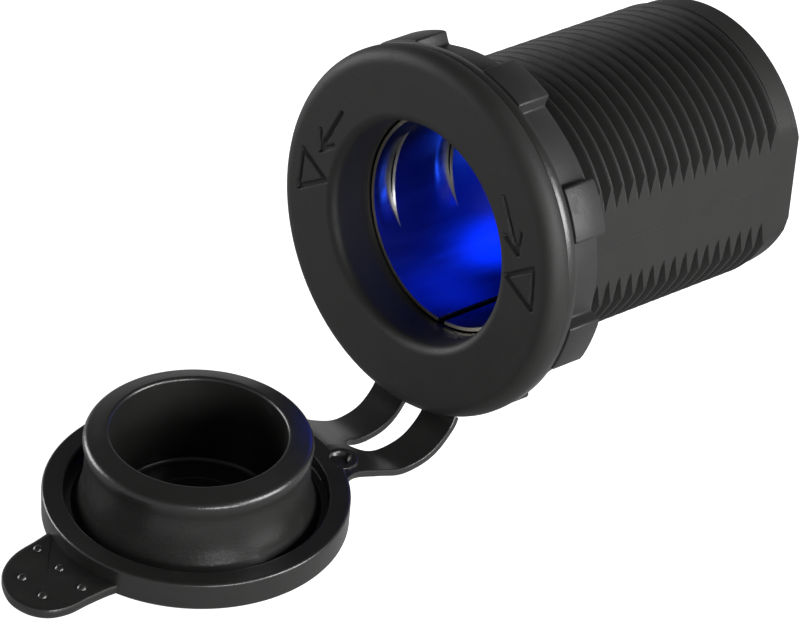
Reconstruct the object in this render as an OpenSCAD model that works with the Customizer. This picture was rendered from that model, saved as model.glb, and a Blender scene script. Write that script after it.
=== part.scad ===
// Panel-mount 12 V power socket with a hinged soft dust cap and a ring nut.
// Y runs rearwards through the panel, Z is up on the face, the origin is on the axis at the panel seat.

/* [Flange and mouth] */
// Width of the flange outside the thread's crest
flange_w = 4.41; // [4:0.01:6]
// Thickness of the flange
flange_t = 2.3; // [2:0.1:4]
// Rounding of the outer edge of the face
flange_round = 1.6; // [0.5:0.1:1.9]
// Step from the shell's pocket out to the mouth's wall
mouth_step = 0.2; // [0.16:0.02:0.4]
// Rounding of the mouth's edge
mouth_round = 1.5; // [0.4:0.1:2]
// Depth of the contact shell's front edge behind the face
shell_depth = 5.1; // [4:0.1:7]

/* [Face marks] */
// Width of an engraved stroke
mark_w = 0.42; // [0.3:0.02:0.8]
// Depth of an engraved stroke
mark_depth = 0.3; // [0.15:0.05:0.6]
// Distance of the arrows from the mouth's wall
arrow_in = 2.8; // [2:0.1:3.6]
// Angle from the top of the face to an arrow's tail
arrow_tail = 52; // [40:1:60]
// Angle from the top of the face to an arrow's tip
arrow_tip = 75; // [66:1:78]
// Length of an arrow's barb
barb = 2.2; // [1:0.1:3]
// Angle from the top of the face to a triangle's middle
triangle_at = 87; // [84:1:100]
// Distance of a triangle's inner corner from the mouth's wall
triangle_in = 1.6; // [1.6:0.1:2.6]
// Distance of a triangle's outer corners from the flange's rim
triangle_out = 2.6; // [2.1:0.1:3.6]
// Half the angle between a triangle's outer corners
triangle_half = 7.6; // [4:0.2:9]

/* [Barrel] */
// Wall between the shell's pocket and the thread's root, which gives a thread for a hole of 1 1/8 inch
barrel_wall = 2.22; // [1.8:0.01:2.6]
// Pitch of the thread
pitch = 1.5875; // [1.4:0.0125:1.8]
// Depth of the thread
thread_depth = 0.97; // [0.6:0.01:1.1]
// Width of the thread's crest
crest_w = 0.26; // [0.1:0.02:0.4]
// Width of the thread's root
root_w = 0.3; // [0.1:0.02:0.4]
// Length of the plain band behind the thread
band_l = 2.1; // [1.6:0.1:4]
// Depth of the plain band below the thread's crest
band_drop = 0.24; // [0.1:0.02:0.5]
// Depth of each flat below the thread's crest
flat_cut = 1.57; // [1.2:0.01:1.7]
// Distance from the panel seat to the front of the inner wall
wall_at = 30; // [26:0.1:36]
// Thickness of the inner wall that carries the contacts
wall_t = 1.5; // [1:0.1:2]
// Step from the shell's pocket out to the rear chamber's wall
chamber_step = 0.7; // [0.3:0.05:0.8]
// Depth of the rear chamber
chamber_l = 5; // [4.6:0.1:8]

/* [Rear cover] */
// Thickness of the rear cover's plate
cover_t = 1.1; // [0.9:0.1:2]
// Chamfer of the rear cover's edge
cover_chamfer = 0.48; // [0.1:0.02:0.6]
// Depth of the cover's collar inside the chamber
collar_l = 1.8; // [1:0.1:2.2]
// Wall of the cover's collar
collar_t = 0.9; // [0.6:0.05:1.2]

/* [Contact shell] */
// Step from the end of the mouth's wall to the shell's front edge
shell_step = 0.1; // [0.06:0.02:0.4]
// Inner radius of the contact shell, the bore for a standard plug, from which the other radii follow
shell_r = 10.75; // [10:0.01:13]
// Sheet thickness of the contact shell
shell_t = 0.3; // [0.25:0.05:0.5]
// Gap at the rolled seam
seam_gap = 0.9; // [0.4:0.1:2]
// Distance from the shell's front edge to the first pair of louvres
louvre_first = 2.9; // [2.4:0.1:4]
// Distance from the first pair of louvres to the second
louvre_step = 8.1; // [7.4:0.1:9]
// Length of a louvre
louvre_l = 6.4; // [5:0.1:7]
// How far a louvre's front edge stands inside the shell
louvre_lift = 0.75; // [0.5:0.05:0.9]
// Half the angle that a louvre spans
louvre_half = 29; // [24:1:32]
// Width of the shell's rear tab
tab_w = 7; // [6:0.1:8]

/* [Contacts and blades] */
// Radius of the positive contact button
button_r = 3.4; // [3:0.1:4]
// Height of the positive contact button
button_h = 1.5; // [1:0.1:2.5]
// Radius of the insulating washer
insulator_r = 4.6; // [4.2:0.1:4.9]
// Thickness of the insulating washer
insulator_t = 0.8; // [0.5:0.1:1.2]
// Shank radius of the rivets
rivet_r = 1.25; // [1:0.05:1.4]
// Clearance round the rivets
rivet_clear = 0.05; // [0.03:0.01:0.1]
// Head radius of the rivets
rivet_head_r = 2.2; // [1.9:0.1:2.4]
// Height of a rivet's head
rivet_head_h = 0.6; // [0.4:0.1:0.9]
// Thickness of the washers under the rivets' formed heads
washer_t = 0.4; // [0.3:0.05:0.6]
// Distance of the shell's rivet inside the shell
shell_rivet_in = 2.75; // [2.5:0.05:2.9]
// Width of a blade
blade_w = 6.3; // [4.8:0.1:6.35]
// Thickness of a blade
blade_t = 0.8; // [0.5:0.05:0.8]
// Distance from the axis to the middle of each blade
blade_at = 4.6; // [4.3:0.1:4.7]
// How far the blades stand out of the rear cover
blade_out = 8; // [6:0.1:10]
// Clearance round a blade in the rear cover
slot_clear = 0.15; // [0.1:0.05:0.4]

/* [Lamp] */
// Lens radius of the lamp
lamp_r = 1.5; // [1.3:0.05:1.6]
// Distance of the lamp's middle inside the shell
lamp_in = 2.55; // [2.3:0.05:2.7]
// How far the lens stands in front of the inner wall
lamp_out = 2.6; // [1.8:0.1:3.4]
// Half the distance between the lamp's legs
leg_half = 1.27; // [1:0.01:1.3]
// Radius of the lamp's legs and of the resistor's leads
lead_r = 0.25; // [0.2:0.01:0.3]
// Thickness of the wire's insulation
sleeve_t = 0.15; // [0.1:0.01:0.25]
// Length of the resistor's body
resistor_l = 3; // [2.4:0.1:3.2]
// Radius of the resistor's ends
resistor_r = 0.8; // [0.5:0.05:0.9]
// Length of the bent lead between the lamp's leg and the resistor
lead_run = 1.4; // [1:0.1:1.8]
// Length of the lead on the resistor's other side, up to its bend
lead_end = 0.6; // [0.5:0.05:0.9]

/* [Ring nut] */
// Thickness of the nut
nut_t = 4.2; // [3:0.1:6]
// How far the lugs reach past the flange's rim
lug_reach = 0; // [-0.6:0.05:1]
// Height of a lug above the nut's ring
lug_h = 1.4; // [0.8:0.1:1.8]
// Number of lugs
lugs = 8; // [6:1:10]
// Width of a lug
lug_w = 5.5; // [4:0.1:6.5]
// Angle of the first lug from the top
lug_turn = 19.5; // [0:0.5:45]
// Radial clearance of the nut over the thread's crest
nut_clear = 0.15; // [0.1:0.01:0.3]
// Chamfer of the nut's rear edges
nut_chamfer = 0.35; // [0.1:0.05:0.6]
// Gap between the parked nut and the cap's ring
nut_gap = 0.05; // [0.02:0.01:0.2]

/* [Cap ring and straps] */
// Thickness of the cap's ring, clamped behind the flange
ring_t = 1.2; // [0.8:0.1:2]
// How far the cap's ring stays inside the flange's rim
ring_inset = 0.15; // [0:0.05:0.6]
// Radial clearance of the ring over the thread's crest
ring_clear = 0.2; // [0.1:0.05:0.6]
// Thickness of the straps
strap_t = 1; // [0.6:0.05:1.2]
// Width of each strap
strap_w = 4.5; // [3.5:0.1:5]
// Gap between the straps
strap_gap = 2.3; // [1.4:0.1:3]
// How far the straps hang below the ring
strap_drop = 2.7; // [2:0.1:4]
// Gap between a strap's ends and the ring and root that they join
strap_end_gap = 0.35; // [0.3:0.05:0.6]

/* [Dust cap] */
// Distance in front of the panel seat of the open cap's nearest edge
cap_reach = 15; // [14:0.1:18]
// Depth of the open cap's rim below the flange
cap_drop = 1.4; // [0.8:0.1:3]
// Sideways place of the open cap's middle
cap_x = -0.8; // [-2:0.1:2]
// Angle of the open cap from its closed place
cap_open = 97.3; // [90:0.1:100]
// Sideways roll of the open cap
cap_roll = 4.7; // [0:0.1:8]
// Turn of the strap's root round the cap
root_turn = 15; // [0:1:20]
// Width of the cap's disc outside the mouth's wall
disc_w = 3.3; // [3:0.1:5]
// Thickness of the disc with its raised rim
disc_t = 2.95; // [2.6:0.05:4]
// Width of the raised rim
rim_w = 1.9; // [1:0.1:2.2]
// Depth of the channel inside the rim
channel_d = 1.5; // [0.8:0.1:1.8]
// Height of the cup above the rim
cup_h = 7; // [6:0.1:8]
// Clearance of the cup's bulge in the contact shell
cup_clear = 0.25; // [0.2:0.05:0.5]
// Depth of the cup's neck below the bulge
neck_in = 0.6; // [0.4:0.05:0.8]
// How far the cup's foot reaches past the mouth's wall
foot_out = 0.45; // [0:0.05:0.7]
// Wall of the cup at its bulge
cup_wall = 2.05; // [1.9:0.05:3]
// Floor thickness under the cup's hole
floor_t = 0.75; // [0.5:0.05:1.2]
// Length of the pull tab beyond the disc
tab_l = 8.6; // [6:0.1:10]
// Half the width of the pull tab
tab_half = 4.6; // [3.5:0.1:5.5]
// Thickness of the pull tab
tab_t = 1.1; // [0.8:0.1:1.5]
// Radius of the small grip domes on the tab
dome_r = 0.42; // [0.3:0.02:0.5]
// Radius of the pit in the strap's root
pit_r = 0.7; // [0.4:0.05:0.9]

/* [Hidden] */
$fn = 96;
eps = 0.01;
fit = 0.05;
pocket_r = shell_r + shell_t + fit;
mouth_r = pocket_r + mouth_step;
chamber_r = pocket_r + chamber_step;
root_r = pocket_r + barrel_wall;
thread_r = root_r + thread_depth;
band_r = thread_r - band_drop;
flat_half = thread_r - flat_cut;
flange_r = thread_r + flange_w;
ring_r = flange_r - ring_inset;
nut_lug_r = flange_r + lug_reach;
nut_ring_r = nut_lug_r - lug_h;
lamp_at = shell_r - lamp_in;
shell_rivet_at = shell_r - shell_rivet_in;
face = -ring_t - flange_t;
mouth_end = face + shell_depth;
wall_back = wall_at + wall_t;
body_end = wall_back + chamber_l;
thread_end = body_end - band_l;
disc_r = mouth_r + disc_w;
cup_bulge_r = shell_r - cup_clear;
cup_neck_r = cup_bulge_r - neck_in;
cup_foot_r = mouth_r + foot_out;
cup_hole_r = cup_bulge_r - cup_wall;
cap_y = disc_r + cap_reach;
cap_z = flange_r + cap_drop;
flank = (pitch - crest_w - root_w) / 2;
turns = floor((thread_end - 0.4) / pitch);
thread_start = thread_end - turns * pitch;
shell_at = mouth_end + shell_step;
shell_l = wall_at - shell_at;
foot_back = wall_back + blade_t;
washer_back = foot_back + washer_t;
blade_end = body_end + cover_t + blade_out;
hole_r = rivet_r + rivet_clear;
insulator_at = wall_at - insulator_t;
button_at = insulator_at - button_h;
wire_at = foot_back + 1.6;
lamp_back = wall_back + 0.6;
floor_z = -disc_t + floor_t;
foot_half = blade_w / 2;

function arc(x, y, r, from, to, steps) =
    [for (i = [0:steps]) let (a = from + (to - from) * i / steps) [x + r * cos(a), y + r * sin(a)]];
function on_face(r, t) = [r * sin(t), -r * cos(t)];

// Puts a shape whose z axis is the socket's axis and whose -y is the top of the face into place
module on_axis() {
    rotate([-90, 0, 0]) children();
}

// A straight engraved stroke between two points of the face
module stroke(a, b) {
    d = b - a;
    translate([a[0], a[1], face - eps])
        rotate(atan2(d[1], d[0]))
            translate([-mark_w / 2, -mark_w / 2, 0])
                cube([norm(d) + mark_w, mark_w, mark_depth + eps]);
}

// One arrow and one triangle, on the side given by s
module face_marks(s) {
    tail = on_face(mouth_r + arrow_in, s * arrow_tail);
    tip = on_face(mouth_r + arrow_in, s * arrow_tip);
    way = (tail - tip) / norm(tail - tip);
    for (k = [-1, 1])
        stroke(tip, tip + barb * [way[0] * cos(30) - k * way[1] * sin(30), way[1] * cos(30) + k * way[0] * sin(30)]);
    stroke(tail, tip);
    outer = flange_r - triangle_out;
    corner = on_face(mouth_r + triangle_in, s * triangle_at);
    above = on_face(outer, s * (triangle_at - triangle_half));
    below = on_face(outer, s * (triangle_at + triangle_half));
    stroke(corner, above);
    stroke(above, below);
    stroke(below, corner);
}

// Everything outside the two flats of the barrel, from one depth to another
module outside_flats(from, to) {
    for (s = [0, 180])
        rotate(s) translate([flat_half, -flange_r, from]) cube([flange_r, 2 * flange_r, to - from]);
}

module socket_body() {
    thread = [for (i = [0:turns - 1], p = [[root_r, root_w / 2], [thread_r, root_w / 2 + flank],
        [thread_r, root_w / 2 + flank + crest_w], [root_r, pitch - root_w / 2]])
        [p[0], thread_start + i * pitch + p[1]]];
    profile = concat(
        [[mouth_r, mouth_end]],
        arc(mouth_r + mouth_round, face + mouth_round, mouth_round, 180, 270, 6),
        arc(flange_r - flange_round, face + flange_round, flange_round, 270, 360, 7),
        [[flange_r, -ring_t - 0.25], [flange_r - 0.25, -ring_t], [root_r, -ring_t]],
        thread,
        [[band_r, thread_end], [band_r, body_end], [chamber_r, body_end], [chamber_r, wall_back],
        [0, wall_back], [0, wall_at], [pocket_r, wall_at], [pocket_r, mouth_end]]);
    color([0.09, 0.09, 0.09]) on_axis() difference() {
        rotate_extrude() polygon(profile);
        outside_flats(-ring_t, body_end + eps);
        translate([0, 0, wall_at - eps]) cylinder(r = hole_r, h = wall_t + 2 * eps);
        translate([0, -shell_rivet_at, wall_at - eps]) cylinder(r = hole_r, h = wall_t + 2 * eps);
        translate([0, lamp_at, wall_at - eps]) cylinder(r = lamp_r + fit, h = wall_t + 2 * eps);
        face_marks(1);
        face_marks(-1);
    }
}

module rear_cover() {
    slot = [blade_w + 2 * slot_clear, blade_t + 2 * slot_clear];
    edge_r = band_r - 0.1;
    color([0.1, 0.1, 0.1]) on_axis() difference() {
        union() {
            translate([0, 0, body_end]) difference() {
                rotate_extrude() polygon([[0, 0], [edge_r, 0], [edge_r, cover_t - cover_chamfer],
                    [edge_r - cover_chamfer, cover_t], [0, cover_t]]);
                outside_flats(-eps, cover_t + eps);
            }
            translate([0, 0, body_end - collar_l]) difference() {
                cylinder(r = chamber_r - fit, h = collar_l);
                translate([0, 0, -eps]) cylinder(r = chamber_r - fit - collar_t, h = collar_l + eps);
            }
        }
        for (s = [-1, 1])
            translate([-slot[0] / 2, s * blade_at - slot[1] / 2, body_end - eps])
                cube([slot[0], slot[1], cover_t + 2 * eps]);
    }
}

// A cylinder along the shell whose radius is larger than the shell's, tilted so that it leans in at its front
module louvre_roll(r, from) {
    chord = (shell_r + shell_t) * sin(louvre_half);
    rise = (shell_r + shell_t) * (1 - cos(louvre_half)) - louvre_lift;
    roll_r = (chord * chord + rise * rise) / (2 * rise);
    lean = atan(louvre_lift / louvre_l);
    translate([shell_r + shell_t - louvre_lift, 0, from])
        rotate([0, lean, 0])
            translate([-roll_r, 0, -3])
                cylinder(r = roll_r + r, h = louvre_l + 6, $fn = 180);
}

module contact_shell() {
    out_r = shell_r + shell_t;
    starts = [shell_at + louvre_first, shell_at + louvre_first + louvre_step];
    tab_in = shell_rivet_at - 3.1;
    color([0.75, 0.74, 0.7]) on_axis() difference() {
        union() {
            difference() {
                translate([0, 0, shell_at]) cylinder(r = out_r, h = shell_l);
                translate([0, 0, shell_at - eps]) cylinder(r = shell_r, h = shell_l + 2 * eps);
                for (side = [0, 180], from = starts)
                    rotate(side) difference() {
                        translate([0, -out_r, from]) cube([out_r + 1, 2 * out_r, louvre_l]);
                        louvre_roll(0, from);
                    }
            }
            for (side = [0, 180], from = starts)
                rotate(side) intersection() {
                    translate([0, -out_r, from]) cube([out_r + 1, 2 * out_r, louvre_l]);
                    difference() {
                        louvre_roll(0, from);
                        louvre_roll(-shell_t, from);
                    }
                    translate([0, 0, from]) cylinder(r = out_r, h = louvre_l);
                }
            intersection() {
                translate([-tab_w / 2, -out_r, wall_at - shell_t]) cube([tab_w, out_r - tab_in, shell_t]);
                translate([0, 0, wall_at - shell_t]) cylinder(r = out_r, h = shell_t);
            }
        }
        translate([-seam_gap / 2, 0, shell_at - eps]) cube([seam_gap, out_r + 1, shell_l + 2 * eps]);
        translate([0, -shell_rivet_at, wall_at - shell_t - eps]) cylinder(r = hole_r, h = shell_t + 2 * eps);
    }
}

module centre_insulator() {
    color([0.55, 0.3, 0.16]) on_axis() translate([0, 0, insulator_at]) difference() {
        cylinder(r = insulator_r, h = insulator_t);
        translate([0, 0, -eps]) cylinder(r = hole_r, h = insulator_t + 2 * eps);
    }
}

// The button is a shallow cup of sheet with its rim on the insulator
module centre_contact() {
    wall = 0.4;
    color([0.8, 0.7, 0.45]) on_axis() translate([0, 0, button_at]) rotate_extrude()
        polygon([[hole_r, 0], [button_r - 0.7, 0], [button_r - 0.2, 0.2], [button_r, 0.7], [button_r, button_h],
            [button_r - wall, button_h], [button_r - wall, 0.8], [button_r - 0.8, wall], [hole_r, wall]]);
}

// A rivet whose flat head sits at the front and whose formed head closes on a washer at the back
module rivet(front, back) {
    translate([0, 0, front]) rotate_extrude() polygon(concat(
        [[0, -rivet_head_h]],
        [[rivet_head_r * 0.55, -rivet_head_h], [rivet_head_r * 0.9, -rivet_head_h * 0.6], [rivet_head_r, 0],
        [rivet_r, 0], [rivet_r, back - front], [rivet_head_r * 0.9, back - front],
        [rivet_head_r * 0.75, back - front + rivet_head_h * 0.6], [rivet_head_r * 0.35, back - front + rivet_head_h],
        [0, back - front + rivet_head_h]]));
}

module centre_rivet() {
    color([0.75, 0.66, 0.4]) on_axis() rivet(button_at, washer_back);
}

module shell_rivet() {
    color([0.75, 0.66, 0.4]) on_axis() translate([0, -shell_rivet_at, 0]) rivet(wall_at - shell_t, washer_back);
}

module washer() {
    translate([0, 0, foot_back]) difference() {
        cylinder(r = rivet_head_r + 0.3, h = washer_t);
        translate([0, 0, -eps]) cylinder(r = hole_r, h = washer_t + 2 * eps);
    }
}

module centre_washer() {
    color([0.7, 0.7, 0.7]) on_axis() washer();
}

module shell_washer() {
    color([0.7, 0.7, 0.7]) on_axis() translate([0, -shell_rivet_at, 0]) washer();
}

// A blade with a chamfered tip, a latch hole and a foot that reaches from the blade to its rivet
module blade(rivet_at, at, foot_far) {
    tip = 1.2;
    low = min(foot_far, at - blade_t / 2);
    high = max(foot_far, at + blade_t / 2);
    difference() {
        union() {
            translate([-foot_half, low, wall_back]) cube([blade_w, high - low, blade_t]);
            translate([0, at + blade_t / 2, 0]) rotate([90, 0, 0]) linear_extrude(blade_t)
                polygon([[-foot_half, wall_back], [foot_half, wall_back], [foot_half, blade_end - tip],
                    [foot_half - tip, blade_end], [-foot_half + tip, blade_end], [-foot_half, blade_end - tip]]);
        }
        translate([0, rivet_at, wall_back - eps]) cylinder(r = hole_r, h = blade_t + 2 * eps);
        translate([0, at, blade_end - 3.6]) rotate([90, 0, 0])
            translate([0, 0, -blade_t]) cylinder(r = 0.8, h = 2 * blade_t, $fn = 32);
    }
}

module positive_blade() {
    color([0.8, 0.78, 0.7]) on_axis() blade(0, blade_at, -foot_half + 0.35);
}

module negative_blade() {
    color([0.8, 0.78, 0.7]) on_axis() blade(-shell_rivet_at, -blade_at, -shell_rivet_at - 2.6);
}

// A 3 mm lamp: dome, body and flange behind the inner wall
module led_lamp() {
    color([0.3, 0.5, 1]) on_axis() translate([0, lamp_at, 0]) rotate_extrude() polygon(concat(
        [[0, wall_at - lamp_out]],
        [for (a = [15:15:90]) [lamp_r * sin(a), wall_at - lamp_out + lamp_r * (1 - cos(a))]],
        [[lamp_r, wall_back], [lamp_r + 0.4, wall_back], [lamp_r + 0.4, lamp_back], [0, lamp_back]]));
}

// A round wire through a list of points, with balls at its bends
module wire(points, r) {
    ball = r / 4;
    for (i = [0:len(points) - 2]) {
        d = points[i + 1] - points[i];
        translate(points[i])
            rotate([0, acos(d[2] / norm(d)), atan2(d[1], d[0])]) cylinder(r = r, h = norm(d), $fn = 24);
        if (i > 0) translate(points[i]) sphere(r = r + ball, $fn = 24);
    }
}

module led_anode_leg() {
    color([0.7, 0.7, 0.7]) on_axis()
        wire([[leg_half, lamp_at, lamp_back], [leg_half, lamp_at, wire_at], [leg_half + lead_run, lamp_at, wire_at]],
            lead_r);
}

module led_resistor() {
    profile = [[0, 0], [0.75, 0], [1, 0.08], [1, 0.27], [0.81, 0.33], [0.81, 0.67], [1, 0.73], [1, 0.92], [0.75, 1], [0, 1]];
    color([0.75, 0.62, 0.42]) on_axis() translate([leg_half + lead_run, lamp_at, wire_at]) rotate([0, 90, 0])
        rotate_extrude() polygon([for (p = profile) [resistor_r * p[0], resistor_l * p[1]]]);
}

module resistor_lead() {
    end = leg_half + lead_run + resistor_l;
    color([0.7, 0.7, 0.7]) on_axis()
        wire([[end, lamp_at, wire_at], [end + lead_end, lamp_at, wire_at], [end + lead_end, blade_at, wire_at],
            [foot_half, blade_at, wire_at]], lead_r);
}

// Insulated wire from the lamp's other leg in one bow round the chamber to the side of the negative blade
module led_wire() {
    steps = 14;
    sides = 10;
    r = lead_r + sleeve_t;
    start = [-leg_half, lamp_at, lamp_back];
    end = [-foot_half, -blade_at, wire_at];
    path = [start, start + [0, 0, chamber_l * 0.6], end - [chamber_r * 0.98, 0, 0], end];
    rings = [for (i = [0:steps]) let (t = i / steps, mid = bezier(path, t), way = slope(path, t),
        u = cross(way, [1, 1, 1]), v = cross(way, u)) [for (k = [0:sides - 1]) let (a = 360 * k / sides)
        mid + r * (u / norm(u) * cos(a) + v / norm(v) * sin(a))]];
    walls = [for (i = [0:steps - 1], j = [0:sides - 1], half = [0, 1])
        let (a = i * sides + j, b = i * sides + (j + 1) % sides)
        half == 0 ? [a, b + sides, b] : [a, a + sides, b + sides]];
    color([0.15, 0.15, 0.15]) on_axis() polyhedron([for (ring = rings, p = ring) p],
        concat([[for (j = [0:sides - 1]) j]], walls, [[for (j = [sides - 1:-1:0]) steps * sides + j]]));
}

// The nut's thread is left to the surface detail: its bore is plain and clears the crests
module lock_nut() {
    bore = thread_r + nut_clear;
    color([0.11, 0.11, 0.11]) on_axis() translate([0, 0, nut_gap]) union() {
        rotate_extrude() polygon([[bore, 0], [nut_ring_r, 0], [nut_ring_r, nut_t - nut_chamfer],
            [nut_ring_r - nut_chamfer, nut_t], [bore, nut_t]]);
        intersection() {
            rotate_extrude() polygon([[bore + 0.5, 0], [nut_lug_r, 0], [nut_lug_r, nut_t - nut_chamfer],
                [nut_lug_r - nut_chamfer, nut_t], [bore + 0.5, nut_t]]);
            for (i = [0:lugs - 1])
                rotate(lug_turn + i * 360 / lugs)
                    translate([-lug_w / 2, -nut_lug_r - 1, 0]) cube([lug_w, nut_lug_r - bore, nut_t]);
        }
    }
}

module cap_ring() {
    color([0.1, 0.1, 0.1]) on_axis() translate([0, 0, -ring_t]) difference() {
        cylinder(r = ring_r, h = ring_t);
        translate([0, 0, -eps]) cylinder(r = thread_r + ring_clear, h = ring_t + 2 * eps);
    }
}

// The open cap's own frame: z out of the cup, y rearwards to the socket, x to the side
cap_up = [sin(cap_roll) * sin(cap_open), cos(cap_open), cos(cap_roll) * sin(cap_open)];
cap_back = [-sin(cap_roll) * cos(cap_open), sin(cap_open), -cos(cap_roll) * cos(cap_open)];
cap_side = [cos(cap_roll), 0, -sin(cap_roll)];
cap_mid = [cap_x, -cap_y, -cap_z];
function cap_point(p) = cap_mid + p[0] * cap_side + p[1] * cap_back + p[2] * cap_up;

module in_cap() {
    multmatrix([[cap_side[0], cap_back[0], cap_up[0], cap_mid[0]], [cap_side[1], cap_back[1], cap_up[1], cap_mid[1]],
        [cap_side[2], cap_back[2], cap_up[2], cap_mid[2]]]) children();
}

root_way = [sin(root_turn), cos(root_turn), 0];
root_side = [cos(root_turn), -sin(root_turn), 0];
root_z = -1.55;
root_r_in = disc_r + 0.9;

function bezier(p, t) =
    pow(1 - t, 3) * p[0] + 3 * t * pow(1 - t, 2) * p[1] + 3 * t * t * (1 - t) * p[2] + pow(t, 3) * p[3];
function slope(p, t) =
    3 * (pow(1 - t, 2) * (p[1] - p[0]) + 2 * t * (1 - t) * (p[2] - p[1]) + t * t * (p[3] - p[2]));

// One strap: a flat band swept from the ring's edge down, forward and up to the cap's root
module strap(s) {
    steps = 20;
    off = s * (strap_gap + strap_w) / 2;
    from = [off, -ring_t / 2, -sqrt(ring_r * ring_r - off * off) - strap_end_gap];
    to = cap_point(root_r_in * root_way + off * root_side + [0, 0, root_z]);
    back = cap_point((root_r_in + 5.2) * root_way + off * root_side + [0, 0, root_z]) - [0, 0, 0.9];
    path = [from, from - [0, 0.8, 1.1 + strap_drop], back, to];
    ring_side = [1, 0, 0];
    far_side = root_side[0] * cap_side + root_side[1] * cap_back;
    rings = [for (i = [0:steps]) let (t = i / steps, mid = bezier(path, t), way = slope(path, t),
        side = ring_side + (far_side - ring_side) * t, flat = side - way * (side * way) / (way * way),
        w = flat / norm(flat) * strap_w / 2, n = cross(way, flat), h = n / norm(n) * strap_t / 2)
        [mid - w - h, mid + w - h, mid + w + h, mid - w + h]];
    points = [for (r = rings, p = r) p];
    sides = [for (i = [0:steps - 1], j = [0:3], half = [0, 1]) let (k = (j + 1) % 4, a = 4 * i + j, b = 4 * i + k)
        half == 0 ? [a, b, b + 4] : [a, b + 4, a + 4]];
    last = 4 * steps;
    polyhedron(points, concat([[2, 1, 0], [3, 2, 0]], sides,
        [[last, last + 1, last + 2], [last, last + 2, last + 3]]));
}

module cap_strap() {
    color([0.12, 0.12, 0.12]) union() {
        strap(-1);
        strap(1);
    }
}

module dust_cap() {
    rim_in = disc_r - rim_w;
    cup = concat(
        [[0, -disc_t], [disc_r - 0.5, -disc_t], [disc_r - 0.2, -disc_t + 0.3], [disc_r, -0.3], [disc_r - 0.25, 0],
        [rim_in + 0.15, 0], [rim_in, -0.2], [rim_in, -channel_d], [cup_foot_r, -channel_d], [cup_foot_r, -0.15]],
        [[cup_foot_r - 0.75, 0.55], [cup_neck_r + 0.45, 1.3], [cup_neck_r + 0.1, 2.2], [cup_neck_r, 3.1],
        [cup_neck_r + 0.2, 4]],
        arc(cup_bulge_r - 1.5, cup_h - 1.5, 1.5, -20, 90, 8),
        [[cup_hole_r + 0.2, cup_h], [cup_hole_r, cup_h - 0.2], [cup_hole_r - 0.25, floor_z], [0, floor_z]]);
    tab_mid = disc_r + tab_l - tab_half;
    tab_z = -disc_t;
    color([0.1, 0.1, 0.1]) in_cap() difference() {
        union() {
            rotate_extrude() polygon(cup);
            translate([0, 0, tab_z]) difference() {
                union() {
                    translate([-0.6, -tab_mid, 0]) cylinder(r = tab_half, h = tab_t);
                    linear_extrude(tab_t) polygon([[-tab_half - 1.2, -disc_r + 1.5], [tab_half + 1.1, -disc_r + 1.5],
                        [tab_half - 0.6, -tab_mid], [-tab_half - 0.6, -tab_mid]]);
                }
                translate([0, 0, -eps]) cylinder(r = disc_r - 1, h = tab_t + 2 * eps);
            }
            for (p = [[-3.9, 1.5], [-0.7, 1.2], [-2.3, -2.1], [2.3, 0.9], [0.8, -2.5]])
                translate([p[0] - 0.3, -tab_mid + p[1], tab_z + tab_t - 0.1]) sphere(r = dome_r, $fn = 24);
            // Root of the straps: a shelf at their level with a lobe of the rim on it
            rotate(-root_turn) {
                translate([-strap_gap / 2 - strap_w, rim_in + 0.6, root_z - strap_t / 2])
                    cube([strap_gap + 2 * strap_w, root_r_in - strap_end_gap - rim_in - 0.6, strap_t]);
                translate([0, 0, root_z - strap_t / 2]) linear_extrude(-root_z + strap_t / 2) intersection() {
                    translate([0, disc_r - 0.6]) circle(r = strap_gap, $fn = 48);
                    union() {
                        square([2 * strap_w, 2 * (root_r_in - strap_end_gap)], center = true);
                        square([strap_gap - 2 * strap_end_gap, 4 * disc_r], center = true);
                    }
                }
            }
        }
        rotate(-root_turn) translate([0, disc_r - 0.1, -0.7]) cylinder(r = pit_r, h = 1, $fn = 32);
        translate([0, 0, -channel_d]) difference() {
            cylinder(r = rim_in, h = 3);
            translate([0, 0, -eps]) cylinder(r = cup_foot_r, h = 4);
        }
    }
}

socket_body();
rear_cover();
contact_shell();
centre_insulator();
centre_contact();
centre_rivet();
centre_washer();
shell_rivet();
shell_washer();
positive_blade();
negative_blade();
led_lamp();
led_anode_leg();
led_resistor();
resistor_lead();
led_wire();
lock_nut();
cap_ring();
cap_strap();
dust_cap();
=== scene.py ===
"""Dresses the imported 12 V panel socket: moulded socket, ring nut, contact parts, lamp and soft dust cap."""

import math

import bmesh
import bpy
import numpy as np
from mathutils import Matrix, Vector


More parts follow.
